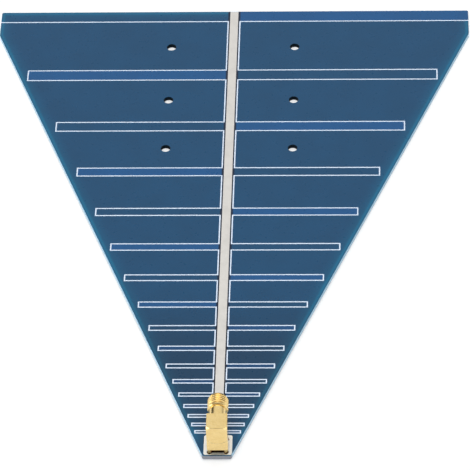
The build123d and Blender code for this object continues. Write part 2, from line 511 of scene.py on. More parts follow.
@dataclass(frozen=True)
class BoardFinish(Finish):
    """A finish that changes near the board's cut outline.

    Attributes:
        board_half: half width of the board at the wide edge.
        tip_half: half width of the board at the tip.
        board_half_length: half length of the board.
        shoulder_y: where the taper meets the straight side.
        middle_level: middle of the board's thickness.
    """

    board_half: float = 80.35
    tip_half: float = 4.3
    board_half_length: float = 100.3
    shoulder_y: float = 88.7
    middle_level: float = 1.315

    def from_tip(self, distances: Sequence[float]) -> list[float]:
        """Turns distances from the tip into places along Y, in metres."""
        return [(distance - self.board_half_length) * MM for distance in distances]

    def inwards(self, pattern: Pattern) -> Socket:
        """Measures how far a point lies inside the cut outline.

        Args:
            pattern: the pattern that takes it.

        Returns:
            The distance in metres.
        """
        slope = (self.board_half - self.tip_half) / (self.shoulder_y + self.board_half_length)
        across = pattern.add("Math", pattern.parts["X"], operation="ABSOLUTE")
        along = pattern.add("Math", pattern.parts["Y"], operation="ABSOLUTE")
        past_tip = pattern.add("Math", pattern.parts["Y"], self.board_half_length * MM, operation="ADD")
        half_width = pattern.add("Math", past_tip, slope, self.tip_half * MM, operation="MULTIPLY_ADD")
        side = pattern.add("Math", half_width, across, operation="SUBTRACT")
        taper = pattern.add("Math", side, 1 / math.hypot(1, slope), operation="MULTIPLY")
        straight = pattern.add("Math", self.board_half * MM, across, operation="SUBTRACT")
        ends = pattern.add("Math", self.board_half_length * MM, along, operation="SUBTRACT")
        nearest = pattern.add("Math", straight, ends, operation="MINIMUM")
        return pattern.add("Math", taper, nearest, operation="MINIMUM")

    def off_middle(self, pattern: Pattern) -> Socket:
        """Measures the distance from the middle of the board's thickness."""
        above = pattern.add("Math", pattern.parts["Z"], self.middle_level * MM, operation="SUBTRACT")
        return pattern.add("Math", above, operation="ABSOLUTE")


@dataclass(frozen=True)
class SolderMask(BoardFinish):
    """Sprayed blue solder mask: semi-gloss, brighter over copper, with the glass cloth just showing through.

    Attributes:
        over_copper: its colour over copper.
        shade_beside_line: painted shade: the darker colour of the mask over the steep edge of the feed line's
            copper.
        at_cut: its colour near the board's cut edge, where light comes in through the laminate.
        copper_step: distance from the middle of the board's thickness to half of the step up over copper.
        line_fade: distances from the board's middle line over which the painted shade beside the line fades
            out.
        glow_fade: distances inwards from the cut over which the light that comes in fades out.
        rim_fade: the same for its strong part.
        rim_share: share of the strong part.
        edge_rise: distances inwards over which the glow grows, because the mask rounds over at the cut.
        edge_share: share of it that is left right at the cut.
        tip_rise: distances from the tip over which the glow sets in.
        clouds: size of its brighter and darker clouds.
        cloud_shades: brightness of the darkest and the brightest cloud.
        dense_y: places along Y where the arms begin to keep the light out, and do so fully, and where that
            is last so, and ends.
        dense_shade: how much of its brightness the mask keeps there.
        yarn_pitch: distance between two yarns of the glass cloth.
        cloth_share: share of the cloth in the relief, whose other part is orange peel.
    """

    name: str = "blue solder mask, sprayed"
    colour: str = "044064"
    roughness: float = 0.3
    index: float = 1.36
    gloss: Gloss = Gloss(Grain(1.6), 0.27, 0.34)
    relief: Relief = Relief(Grain(0.6, 1.0), 0.003)
    over_copper: str = "0B4B7D"
    shade_beside_line: str = "041A33"
    at_cut: str = "046082"
    copper_step: float = 0.7975
    line_fade: tuple[float, float] = (1.92, 2.27)
    glow_fade: tuple[float, float] = (-1.0, 5.0)
    rim_fade: tuple[float, float] = (0.64, 1.6)
    rim_share: float = 0.6
    edge_rise: tuple[float, float] = (0.0, 0.8)
    edge_share: float = 0.5
    tip_rise: tuple[float, float] = (3.0, 12.0)
    clouds: Grain = Grain(9.0)
    cloud_shades: tuple[float, float] = (0.96, 1.04)
    dense_y: tuple[float, float, float, float] = (-30.0, -62.0, -88.0, -91.5)
    dense_shade: float = 0.65
    yarn_pitch: float = 0.6
    cloth_share: float = 0.6

    def coloured(self, pattern: Pattern) -> Socket:
        """Draws the colours by height and place, and the brightness over them.

        Args:
            pattern: the pattern that takes them.

        Returns:
            The mask's colour.
        """
        step = self.copper_step * MM
        on_copper = pattern.add("Math", self.off_middle(pattern), step, operation="GREATER_THAN")
        # Painted shade: the mask is drawn darker in a band beside the raised feed line.
        off_line = pattern.add("Math", pattern.parts["X"], operation="ABSOLUTE")
        near_line_shade = pattern.add("MapRange", off_line, *metres(self.line_fade), 1.0, 0.0, **SMOOTH)
        colour = pattern.add("Mix", self.edge_glow(pattern), self.colour, self.at_cut, **COLOUR_MIX)
        colour = pattern.add("Mix", on_copper, colour, self.over_copper, **COLOUR_MIX)
        colour = pattern.add("Mix", near_line_shade, colour, self.shade_beside_line, **COLOUR_MIX)
        cloudy = self.clouds.between(pattern, *self.cloud_shades)
        brightness = pattern.add("Math", cloudy, self.dense_arms(pattern), operation="MULTIPLY")
        grey = pattern.add("CombineColor", brightness, brightness, brightness)
        return pattern.add("Mix", 1.0, colour, grey, blend_type="MULTIPLY", **COLOUR_MIX)

    def dense_arms(self, pattern: Pattern) -> Socket:
        """Works out how much brightness is left where the arms are dense.

        Args:
            pattern: the pattern that takes it.

        Returns:
            The share that is left, from 1 down to the dense shade.
        """
        begin, full, last, end = metres(self.dense_y)
        coming = pattern.add("MapRange", pattern.parts["Y"], full, begin, self.dense_shade, 1.0, **SMOOTH)
        going = pattern.add("MapRange", pattern.parts["Y"], end, last, 1.0, self.dense_shade, **SMOOTH)
        return pattern.add("Math", coming, going, operation="MAXIMUM")

    def edge_glow(self, pattern: Pattern) -> Socket:
        """Works out how much light a point gets through the laminate's cut edge.

        Args:
            pattern: the pattern that takes it.

        Returns:
            Its share of the full glow, 0 from the glow's depth inwards.
        """
        inwards = self.inwards(pattern)
        rim = pattern.add("MapRange", inwards, *metres(self.rim_fade), self.rim_share, 0.0, **SMOOTH)
        broad = pattern.add("MapRange", inwards, *metres(self.glow_fade), 1.0 - self.rim_share, 0.0, **SMOOTH)
        glow = pattern.add("Math", rim, broad, operation="ADD")
        start, full = self.from_tip(self.tip_rise)
        past_tip = pattern.add("MapRange", pattern.parts["Y"], start, full, 0.0, 1.0, **SMOOTH)
        rising = pattern.add("MapRange", inwards, *metres(self.edge_rise), self.edge_share, 1.0, **SMOOTH)
        for share in (past_tip, rising):
            glow = pattern.add("Math", glow, share, operation="MULTIPLY")
        return glow

    def height(self, pattern: Pattern) -> Socket:
        """Draws the plain weave of the glass cloth under the mask, and the orange peel on it.

        Args:
            pattern: the pattern that takes them.

        Returns:
            The height, from 0 to 1.
        """
        per_metre = math.tau / (2 * self.yarn_pitch * MM)
        turns = [pattern.add("Math", pattern.parts[axis], per_metre, operation="MULTIPLY") for axis in "XY"]
        waves = [pattern.add("Math", turn, operation="SINE") for turn in turns]
        crossed = pattern.add("Math", *waves, operation="MULTIPLY")
        cloth = pattern.add("MapRange", crossed, -1.0, 1.0, 0.0, 1.0, **SMOOTH)
        peel = self.relief.grain.noise(pattern)
        return pattern.add("Mix", self.cloth_share, peel, cloth, **VALUE_MIX)


@dataclass(frozen=True)
class GlassLaminate(BoardFinish):
    """Routed, drilled glass-epoxy laminate: pale where daylight comes through, with painted shade on the
    tip's edge and in the holes.

    Attributes:
        specular: specular level of the cut, which router and drill leave open and rough.
        band: colour of the glass-rich bands.
        layer: thickness of one layer of cloth.
        wobble: size of the bends in the layers.
        wobble_turn: how far they bend, as an angle of the layers' wave in radians.
        tip_edge_shade: painted shade on the tip's short edge, which gets less light than the sides.
        tip_band_shade: painted shade of the glass-rich bands there.
        tip_fade: distances from the tip over which this painted shade fades out.
        rim: colour right beside the faces, where the mask's edge shades the cut.
        rim_share: how strong it is, at most.
        rim_rise: distances from the middle of the board's thickness over which it comes up.
        hole_wall_shade: painted shade on the drilled walls inside the holes, which lie in shadow.
        hole_depth: distance inside the outline past which a wall is a hole's.
    """

    name: str = "glass-epoxy laminate, routed"
    colour: str = "94BAD0"
    roughness: float = 0.62
    gloss: Gloss = Gloss(ROUTER_MARKS, 0.52, 0.7)
    relief: Relief = Relief(ROUTER_MARKS, 0.02, 0.8)
    specular: float = 0.05
    band: str = "B4CFE0"
    layer: float = 0.19
    wobble: Grain = Grain(1.5, 2.0)
    wobble_turn: float = 2.5
    tip_edge_shade: str = "75777E"
    tip_band_shade: str = "8F9096"
    tip_fade: tuple[float, float] = (0.2, 1.2)
    rim: str = "72A1BC"
    rim_share: float = 0.85
    rim_rise: tuple[float, float] = (0.62, 0.74)
    hole_wall_shade: str = "061620"
    hole_depth: float = 2.0

    def constants(self) -> dict[str, float | tuple[float, ...]]:
        """Names the constant sockets, the specular level among them."""
        return super().constants() | {"Specular IOR Level": self.specular}

    def coloured(self, pattern: Pattern) -> Socket:
        """Draws the bands, the darker rims, and the painted shade on the tip's edge and the hole walls.

        Args:
            pattern: the pattern that takes them.

        Returns:
            The laminate's colour.
        """
        turn = pattern.add("Math", pattern.parts["Z"], math.tau / (self.layer * MM), operation="MULTIPLY")
        bends = self.wobble.noise(pattern)
        turn = pattern.add("Math", bends, self.wobble_turn, turn, operation="MULTIPLY_ADD")
        wave = pattern.add("Math", turn, operation="SINE")
        banded = pattern.add("MapRange", wave, -1.0, 1.0, 0.0, 1.0, **SMOOTH)
        side = pattern.add("Mix", banded, self.colour, self.band, **COLOUR_MIX)
        # Painted shade: the tip's short edge is drawn darker than the sides.
        tip = pattern.add("Mix", banded, self.tip_edge_shade, self.tip_band_shade, **COLOUR_MIX)
        full, end = self.from_tip(self.tip_fade)
        tip_shade_share = pattern.add("MapRange", pattern.parts["Y"], full, end, 1.0, 0.0, **SMOOTH)
        colour = pattern.add("Mix", tip_shade_share, side, tip, **COLOUR_MIX)
        off_middle = self.off_middle(pattern)
        at_rim = pattern.add("MapRange", off_middle, *metres(self.rim_rise), 0.0, self.rim_share, **SMOOTH)
        colour = pattern.add("Mix", at_rim, colour, self.rim, **COLOUR_MIX)
        # Painted shade: the walls inside the holes are drawn nearly black.
        in_hole_shade = pattern.add("Math", self.inwards(pattern), self.hole_depth * MM, operation="GREATER_THAN")
        return pattern.add("Mix", in_hole_shade, colour, self.hole_wall_shade, **COLOUR_MIX)


@dataclass(frozen=True)
class LegendInk(Finish):
    """Screen-printed white ink: matt, slightly cold white, thinner in patches, with the screen's grain."""

    name: str = "white legend ink, screen printed"
    colour: str = "D1DEEF"
    roughness: float = 0.55
    patches: Patches = Patches("BFD0E8", Grain(1.2), 0.55, (0.45, 0.75))
    relief: Relief = Relief(Grain(0.15, 2.0), 0.008)


@dataclass(frozen=True)
class LevelledTin(Finish):
    """Hot-air levelled tin on copper: satin, pale grey, in shallow waves with a fine grain.

    Attributes:
        crystals: its duller crystals.
        wave_share: share of the waves in the relief, whose other part is the crystals.
    """

    name: str = "tin, hot-air levelled"
    colour: str = "D7D4CF"
    roughness: float = 0.36
    metallic: float = 1.0
    patches: Patches = Patches("CECBC6", Grain(3.0), 0.8, (0.4, 0.75))
    gloss: Gloss = Gloss(TIN_CRYSTALS, 0.31, 0.43)
    relief: Relief = Relief(TIN_WAVES, 0.012)
    crystals: Patches = Patches("CECBC6", TIN_CRYSTALS, 0.5, (0.5, 0.8))
    wave_share: float = 0.85

    def coloured(self, pattern: Pattern) -> Socket:
        """Draws the dull patches, and the duller crystals over them."""
        return self.crystals.over(pattern, super().coloured(pattern))

    def height(self, pattern: Pattern) -> Socket:
        """Draws the waves with the crystals on them."""
        crystals, waves = TIN_CRYSTALS.noise(pattern), TIN_WAVES.noise(pattern)
        return pattern.add("Mix", self.wave_share, crystals, waves, **VALUE_MIX)


@dataclass(frozen=True)
class ShadedPadTin(LevelledTin):
    """The pad's tin: bright and clean at its rim, with a painted brown shade below the socket's block, where
    the block shadows it.

    Attributes:
        block_shade: colour of the painted shade.
        block_shade_middle: middle of the painted shade.
        block_shade_half: half its width and length.
        block_shade_fade: width of its soft rim.
        block_shade_edge: size of the rim's bends.
        block_shade_bend: how far the rim bends in.
    """

    colour: str = "E9E9E6"
    roughness: float = 0.45
    patches: Patches = Patches("DFDFDB", Grain(3.0), 0.8, (0.4, 0.75))
    gloss: Gloss = Gloss(TIN_CRYSTALS, 0.4, 0.52)
    crystals: Patches = Patches("DFDFDB", TIN_CRYSTALS, 0.5, (0.5, 0.8))
    block_shade: str = "3A2A1E"
    block_shade_middle: tuple[float, float] = (0.27, -96.15)
    block_shade_half: tuple[float, float] = (3.0, 2.9)
    block_shade_fade: float = 0.35
    block_shade_edge: Grain = Grain(0.8)
    block_shade_bend: float = 0.5

    def coloured(self, pattern: Pattern) -> Socket:
        """Draws the tin with the painted shade below the socket's block.

        Args:
            pattern: the pattern that takes them.

        Returns:
            The tin's colour.
        """
        # Painted shade: a dark brown patch on the pad under the socket's block.
        bends = pattern.add("Math", self.block_shade_edge.noise(pattern), self.block_shade_bend * MM, operation="MULTIPLY")
        in_block_shade: Socket | float = 1.0
        for axis, middle, half in zip("XY", self.block_shade_middle, self.block_shade_half):
            off = pattern.add("Math", pattern.parts[axis], middle * MM, operation="SUBTRACT")
            off = pattern.add("Math", off, operation="ABSOLUTE")
            off = pattern.add("Math", off, bends, operation="ADD")
            fade = metres((half, half + self.block_shade_fade))
            inside = pattern.add("MapRange", off, *fade, 1.0, 0.0, **SMOOTH)
            in_block_shade = pattern.add("Math", in_block_shade, inside, operation="MULTIPLY")
        return pattern.add("Mix", in_block_shade, super().coloured(pattern), self.block_shade, **COLOUR_MIX)


@dataclass(frozen=True)
class GoldPlate(Finish):
    """Bright gold plating on turned and milled brass: glossy, faintly cloudy, with the cutter's marks."""

    name: str = "gold plating on turned brass"
    colour: str = "E9CE91"
    roughness: float = 0.18
    metallic: float = 1.0
    patches: Patches = Patches("E2C483", Grain(1.8), 0.7, (0.35, 0.7))
    gloss: Gloss = Gloss(CUTTER_MARKS, 0.13, 0.28)
    relief: Relief = Relief(CUTTER_MARKS, 0.0015)


@dataclass(frozen=True)
class Fluoropolymer(Finish):
    """Turned fluoropolymer: white and waxy, with a soft sheen and faint lathe rings.

    Attributes:
        soak: share of the light that soaks in.
        soak_depth: how far it goes.
    """

    name: str = "white fluoropolymer, turned"
    colour: str = "F0EFE9"
    roughness: float = 0.38
    index: float = 1.36
    patches: Patches = Patches("E0DED4", Grain(0.9), 0.6)
    relief: Relief = Relief(Grain(0.1, 1.0, (0.2, 1.0, 0.2)), 0.004)
    soak: float = 0.15
    soak_depth: float = 0.3

    def constants(self) -> dict[str, float | tuple[float, ...]]:
        """Names the constant sockets, those of the light that soaks in among them."""
        soaked = {"Subsurface Weight": self.soak, "Subsurface Scale": self.soak_depth * MM}
        return super().constants() | soaked


@dataclass(frozen=True)
class Solder(Finish):
    """Tin solder that froze bright: mirror-like, frosted in patches, with shallow ripples."""

    name: str = "tin solder, hand soldered"
    colour: str = "DAD9D6"
    roughness: float = 0.16
    metallic: float = 1.0
    patches: Patches = Patches("B4B3B0", SOLDER_FROST, 0.6)
    gloss: Gloss = Gloss(SOLDER_FROST, 0.1, 0.34, (0.4, 0.7))
    relief: Relief = Relief(Grain(0.7, 1.0), 0.03, 0.7)


@dataclass(frozen=True)
class BareCopper(Finish):
    """Etched copper foil at the edges of the tracks: warm, satin, oxidised in patches, finely grained."""

    name: str = "copper foil, etched"
    colour: str = "C98560"
    roughness: float = 0.42
    metallic: float = 1.0
    patches: Patches = Patches("8E5236", Grain(0.8), 0.8)
    # The etched grain is drawn coarser than the real one, which is too fine to show.
    relief: Relief = Relief(Grain(0.06, 2.0), 0.004)


@dataclass(frozen=True)
class TableTop(Finish):
    """Matt white acrylic table: smooth, with the faintest unevenness and a little light from below.

    Attributes:
        from_below: brightness of the light that comes up through it.
    """

    name: str = "matt white acrylic table"
    colour: str = "B7B7B7"
    roughness: float = 0.7
    patches: Patches = Patches("B5B6B6", Grain(60.0, 1.0), 1.0)
    from_below: float = 0.5

    def constants(self) -> dict[str, float | tuple[float, ...]]:
        """Names the constant sockets, those of the light from below among them."""
        lit = {"Emission Color": linear(WHITE), "Emission Strength": self.from_below}
        return super().constants() | lit


@dataclass
class PrintedBoard:
    """The board: laminate, copper, mask, legend and tin, all as the construction made them.

    Attributes:
        coats: the finish of each of its nodes.
    """

    coats: dict[str, Finish] = field(
        default_factory=lambda: {
            "laminate_core": GlassLaminate(),
            "copper_top": BareCopper(),
            "copper_bottom": BareCopper(),
            "solder_mask_top": SolderMask(),
            "solder_mask_bottom": SolderMask(),
            "legend_top": LegendInk(),
            "line_tin_top": LevelledTin(),
            "line_tin_bottom": LevelledTin(),
            "pad_tin_top": ShadedPadTin(),
        }
    )

    def build(self, workshop: Workshop) -> None:
        """Gives every layer its finish.

        Args:
            workshop: the shared materials and nodes.
        """
        for node, finish in self.coats.items():
            workshop.coat_node(node, finish)


@dataclass
class CoaxialSocket:
    """The right-angle socket: block with a turned rear face, neck, collar, threaded barrel and four legs.

    Attributes:
        axis_x: the barrel's axis across the board.
        axis_z: its height.
        back_y: rear face.
        block_size: width, depth and height of the block.
        block_edge: chamfer of the block's edges.
        turned_height: height of the turned rear face.
        turned_radius: its radius at the block.
        turned_run: how much smaller its radius is at the back.
        turned_edge: size of the rounding between its flat middle and its cone.
        foot_run: how much smaller its radius is on its lower half, where the chamfer is flatter.
        turning_overrun: how far the turning tool runs past the upper corners.
        neck_radius: radius of the neck.
        neck_length: its length.
        neck_in_block: how far the turned rod reaches into the block.
        barrel_radius: radius of the collar and over the thread's crests.
        barrel_length: length of collar, groove and thread together.
        shoulder_start: where the chamfer between neck and collar begins, past the barrel's rear end.
        shoulder_length: length of that chamfer.
        collar_length: length of the collar, its chamfer included.
        groove_width: width of the relief groove between collar and thread.
        groove_depth: its depth.
        groove_edge: chamfer of its edges.
        end_chamfer: how much the thread is cut down at the mouth.
        lead_slope: slope of that lead-in.
        thread_pitch: 36 turns to the inch.
        thread_depth: depth of the thread, as a share of its pitch.
        bore_radius: bore of the insulators.
        mouth_radius: bore of the mouth.
        mouth_depth: its depth.
        mouth_edge: chamfer of its edge.
        leg_pitch: distance between legs.
        leg_width: side of a leg.
        leg_edge: chamfer of its edges.
        leg_in_block: how far it reaches into the block.
        underside: level of the block's underside.
        overlap: how far a solid that cuts reaches past what it cuts.
        face_steps: steps of a turn in the rear face.
        rod_steps: steps of a turn in the rod.
        bore_steps: steps of a turn in the bores.
        thread_rings: rings of corners in one pitch of the thread.
    """

    axis_x: float = 0.27
    axis_z: float = 10.43
    back_y: float = -99.55
    block_size: tuple[float, float, float] = (6.35, 6.2, 10.4)
    block_edge: float = 0.15
    turned_height: float = 0.3
    turned_radius: float = 4.1
    turned_run: float = 0.3
    turned_edge: float = 0.04
    foot_run: float = 0.6
    turning_overrun: float = 0.2
    neck_radius: float = 2.6
    neck_length: float = 3.9
    neck_in_block: float = 0.4
    barrel_radius: float = 3.175
    barrel_length: float = 4.9
    shoulder_start: float = 0.066
    shoulder_length: float = 0.22
    collar_length: float = 0.62
    groove_width: float = 0.4
    groove_depth: float = 0.5
    groove_edge: float = 0.05
    end_chamfer: float = 0.5
    lead_slope: float = 0.5
    thread_pitch: float = 25.4 / 36
    thread_depth: float = 0.6134
    bore_radius: float = 2.065
    mouth_radius: float = 2.3
    mouth_depth: float = 1.9
    mouth_edge: float = 0.12
    leg_pitch: float = 5.08
    leg_width: float = 0.85
    leg_edge: float = 0.06
    leg_in_block: float = 0.3
    underside: float = 3.43
    overlap: float = 0.5
    face_steps: int = 128
    rod_steps: int = 192
    bore_steps: int = 96
    thread_rings: int = 24

    @property
    def front_y(self) -> float:
        """Front face of the block."""
        return self.back_y + self.block_size[1]

    @property
    def top_z(self) -> float:
        """Top face of the block."""
        return self.underside + self.block_size[2]

    @property
    def pin_y(self) -> float:
        """Line of the downward bore, between the foot of the turned face and the front face."""
        return (self.back_y + self.turned_height + self.front_y) / 2

    @property
    def barrel_y(self) -> float:
        """Rear end of the barrel."""
        return self.front_y + self.neck_length

    @property
    def collar_y(self) -> float:
        """Front edge of the collar."""
        return self.barrel_y + self.collar_length

    @property
    def thread_y(self) -> float:
        """Rear end of the thread."""
        return self.collar_y + self.groove_width

    @property
    def end_y(self) -> float:
        """Front end of the barrel."""
        return self.barrel_y + self.barrel_length

    def build(self, workshop: Workshop) -> None:
        """Builds the body and dresses the parts inside it.

        Args:
            workshop: the shared materials and nodes.
        """
        body = self.block()
        combine(body, self.on_axis("rod", self.threaded_rod()), Join.ADD)
        for leg in self.legs():
            combine(body, leg, Join.ADD)
        combine(body, self.on_axis("bore", self.bore()), Join.CUT)
        combine(body, self.down_bore(), Join.CUT)
        shade(body)
        workshop.finish_piece(body, GoldPlate(), "connector_body")
        workshop.coat_node("socket_contact", GoldPlate())
        workshop.coat_node("tail_pin", GoldPlate())
        workshop.coat_node("barrel_insulator", Fluoropolymer())
        workshop.coat_node("tail_insulator", Fluoropolymer())

    def on_axis(self, name: str, form: Form) -> Piece:
        """Moves a solid of revolution from the Y axis to the barrel's axis."""
        bmesh.ops.translate(form, vec=Vector((self.axis_x, 0, self.axis_z)) * MM, verts=form.verts)
        return new_piece(name, form)

    def block(self) -> Piece:
        """Makes the milled block and turns its rear face, whose cone also takes off the two upper corners.

        Returns:
            The block.
        """
        middle = (self.axis_x, (self.back_y + self.front_y) / 2, (self.underside + self.top_z) / 2)
        block = new_piece("socket_body", box_form(self.block_size, middle, self.block_edge))
        above_axis = self.top_z - self.axis_z
        reach = math.hypot(self.block_size[0] / 2, above_axis) - self.turned_radius + self.turning_overrun
        corner_depth = self.turned_height * (1 + reach / self.turned_run)
        low, high = self.underside - 2 * self.overlap, self.top_z + 2 * self.overlap
        foot_waste = self.turning_waste(self.turned_height, self.foot_run, low, self.axis_z)
        combine(block, foot_waste, Join.CUT)
        combine(block, self.turning_waste(corner_depth, self.turned_run, self.axis_z, high), Join.CUT)
        return block

    def turning_waste(self, depth: float, run: float, low: float, high: float) -> Piece:
        """Makes what turning the rear face takes off.

        Args:
            depth: how far it reaches in from the rear face.
            run: how much smaller the radius is at the back than at the foot.
            low: level down to which it reaches.
            high: level up to which it reaches.

        Returns:
            A slab round a cone, which overlaps the block behind and at its sides.
        """
        past, edge = self.overlap, self.turned_edge
        slope = run / self.turned_height
        back_radius = self.turned_radius - (run + self.turned_run) / 2
        # Two short steps round the corner between the flat middle and the cone.
        profile = [
            (0, self.back_y - 2 * past),
            (back_radius - edge, self.back_y - 2 * past),
            (back_radius - edge, self.back_y),
            (back_radius - edge / 3, self.back_y + edge / 4),
            (back_radius + edge * slope, self.back_y + edge),
            (back_radius + (depth + past) * slope, self.back_y + depth + past),
            (0, self.back_y + depth + past),
        ]
        size = (self.block_size[0] + 2 * past, depth + past, high - low)
        middle = (self.axis_x, self.back_y + (depth - past) / 2, (high + low) / 2)
        waste = new_piece("waste", box_form(size, middle))
        combine(waste, self.on_axis("face", turned_form(profile, self.face_steps)), Join.CUT)
        return waste

    def threaded_rod(self) -> Form:
        """Makes neck, collar, relief groove and barrel, and cuts the thread into the barrel.

        Returns:
            The rod on the Y axis.
        """
        edge = self.groove_edge
        floor = self.barrel_radius - self.groove_depth
        shoulder_y = self.barrel_y + self.shoulder_start
        profile = [
            (0, self.front_y - self.neck_in_block),
            (self.neck_radius, self.front_y - self.neck_in_block),
            (self.neck_radius, self.barrel_y),
            (self.barrel_radius - self.shoulder_length, shoulder_y),
            (self.barrel_radius, shoulder_y + self.shoulder_length),
            (self.barrel_radius, self.collar_y - edge),
            (self.barrel_radius - edge, self.collar_y),
            (floor, self.collar_y + edge),
            (floor, self.thread_y),
        ]
        length = self.end_y - self.thread_y
        rings = round(length / self.thread_pitch * self.thread_rings)
        places = [self.thread_y + length * ring / rings for ring in range(1, rings + 1)]
        profile += [(self.barrel_radius, along) for along in places]
        profile.append((0, self.end_y))
        form = turned_form(profile, self.rod_steps)
        # Only the thread's own rings are moved, and the first of them lies one step past its rear end.
        thread_start = self.thread_y + 0.5 * length / rings
        for corner in form.verts:
            along = corner.co.y / MM
            radius = math.hypot(corner.co.x, corner.co.z) / MM
            if radius > floor and along > thread_start:
                turn = math.atan2(corner.co.x, corner.co.z) / math.tau
                wanted = self.thread_radius(along, turn)
                corner.co.x *= wanted / radius
                corner.co.z *= wanted / radius
        return form

    def thread_radius(self, along: float, turn: float) -> float:
        """Gives the radius of a 60 degree right-hand thread.

        Args:
            along: place along Y in millimetres.
            turn: place round the barrel, as a share of a turn.

        Returns:
            The radius in millimetres, cut down where the thread runs out at its two ends.
        """
        # A flank rises by the root of 3 for each step along, and an eighth of the pitch is flat crest.
        flank = self.thread_pitch * math.sqrt(3)
        crest, root = flank / 16, self.thread_depth * self.thread_pitch
        phase = (along / self.thread_pitch - turn) % 1.0
        depth = min(max(abs(phase - 0.5) * flank - crest, 0.0), root)
        run_out = self.barrel_radius - self.groove_depth + (along - self.thread_y)
        lead_in = self.barrel_radius - self.end_chamfer + self.lead_slope * (self.end_y - along)
        return min(self.barrel_radius - depth, run_out, lead_in)

    def legs(self) -> list[Piece]:
        """Makes the four legs, with chamfered ends.

        Returns:
            One piece for each leg.
        """
        height = self.underside + self.leg_in_block
        size = (self.leg_width, self.leg_width, height)
        places = square_corners((self.axis_x, self.pin_y), self.leg_pitch)
        return [new_piece("leg", box_form(size, (*place, height / 2), self.leg_edge)) for place in places]

    def bore(self) -> Form:
        """Makes the solid that cuts the horizontal bore and the mouth.

        Returns:
            The solid on the Y axis.
        """
        step_y = self.end_y - self.mouth_depth
        past = self.end_y + self.overlap
        profile = [
            (0, self.pin_y - self.bore_radius),
            (self.bore_radius, self.pin_y - self.bore_radius),
            (self.bore_radius, step_y),
            (self.mouth_radius, step_y),
            (self.mouth_radius, self.end_y - self.mouth_edge),
            (self.mouth_radius + self.mouth_edge + self.overlap, past),
            (0, past),
        ]
        return turned_form(profile, self.bore_steps)

    def down_bore(self) -> Piece:
        """Makes the solid that cuts the bore down through the block's underside.

        Returns:
            The solid, in its place.
        """
        form = bmesh.new()
        top, low = self.axis_z, self.underside - self.overlap
        bmesh.ops.create_cone(
            form,
            cap_ends=True,
            segments=self.bore_steps,
            radius1=self.bore_radius * MM,
            radius2=self.bore_radius * MM,
            depth=(top - low) * MM,
        )
        middle = Vector((self.axis_x, self.pin_y, (top + low) / 2))
        bmesh.ops.translate(form, vec=middle * MM, verts=form.verts)
        return new_piece("down_bore", form)


@dataclass
class SolderJoints:
    """Soldered joints under the board, on the four square lands and the round one.

    Attributes:
        centre: place of the signal pin, in the middle of the four legs.
        leg_pitch: distance between legs.
        land_level: level of the lands.
        height: how far a joint reaches down.
        square_foot: side of a square joint at its foot.
        square_corner: rounding of its corners.
        corner_steps: steps in that rounding.
        round_foot: radius of the round joint at its foot.
        round_steps: steps of its turn.
        leg_tip: half width of a square joint at its end.
        pin_tip: radius of the round joint at its end.
        hollow: how hollow the flank is, 1 for a straight one.
        rings: steps along the flank.
        crease_angle: angle in degrees past which an edge stays sharp.
    """

    centre: tuple[float, float] = (0.27, -96.3)
    leg_pitch: float = 5.08
    land_level: float = 0.53
    height: float = 0.42
    square_foot: float = 2.2
    square_corner: float = 0.3
    corner_steps: int = 4
    round_foot: float = 1.15
    round_steps: int = 40
    leg_tip: float = 0.505
    pin_tip: float = 0.58
    hollow: float = 1.7
    rings: int = 7
    crease_angle: float = 50.0

    def build(self, workshop: Workshop) -> None:
        """Builds both kinds of joint.

        Args:
            workshop: the shared materials and nodes.
        """
        legs = bmesh.new()
        for place in square_corners(self.centre, self.leg_pitch):
            self.add_joint(legs, self.square_land, self.leg_tip / (self.square_foot / 2), place)
        pin = bmesh.new()
        self.add_joint(pin, self.round_land, self.pin_tip / self.round_foot, self.centre)
        made = (("leg_joints", legs, "leg_solder_joints"), ("pin_joint", pin, "pin_solder_joint"))
        for name, form, node in made:
            piece = new_piece(name, form)
            shade(piece, self.crease_angle)
            workshop.finish_piece(piece, Solder(), node)

    def square_land(self, form: Form) -> list[Corner]:
        """Starts a joint with a square of rounded corners.

        Args:
            form: the mesh that takes it.

        Returns:
            The corners of the new face.
        """
        start = bmesh.ops.create_grid(form, x_segments=1, y_segments=1, size=self.square_foot / 2 * MM)
        rounded = bmesh.ops.bevel(
            form,
            geom=start["verts"],
            offset=self.square_corner * MM,
            segments=self.corner_steps,
            profile=0.5,
            affect="VERTICES",
            material=-1,
        )
        return rounded["verts"]

    def round_land(self, form: Form) -> list[Corner]:
        """Starts a joint with a disc.

        Args:
            form: the mesh that takes it.

        Returns:
            The corners of the new face.
        """
        made = bmesh.ops.create_circle(
            form, cap_ends=True, segments=self.round_steps, radius=self.round_foot * MM
        )
        return made["verts"]

    def add_joint(
        self, form: Form, start: Callable[[Form], list[Corner]], tip_share: float, place: tuple[float, float]
    ) -> None:
        """Adds one joint, drawn down from its land along a hollow flank.

        Args:
            form: the mesh that takes it.
            start: makes the outline on the land.
            tip_share: size at the end as a share of the size at the foot.
            place: X and Y of its middle.
        """
        before = set(form.verts)
        face = start(form)[0].link_faces[0]
        wide = 1.0
        for ring in range(1, self.rings + 1):
            share = ring / self.rings
            narrow = tip_share + (1 - tip_share) * (1 - share) ** self.hollow
            grown = bmesh.ops.extrude_face_region(form, geom=[face])["geom"]
            face = next(each for each in grown if isinstance(each, bmesh.types.BMFace))
            outline = list(face.verts)
            bmesh.ops.scale(form, vec=(narrow / wide, narrow / wide, 1), verts=outline)
            bmesh.ops.translate(form, vec=(0, 0, -self.height / self.rings * MM), verts=outline)
            wide = narrow
        added = [corner for corner in form.verts if corner not in before]
        bmesh.ops.translate(form, vec=Vector((*place, self.land_level)) * MM, verts=added)
        bmesh.ops.holes_fill(form, edges=[edge for edge in form.edges if edge.is_boundary])


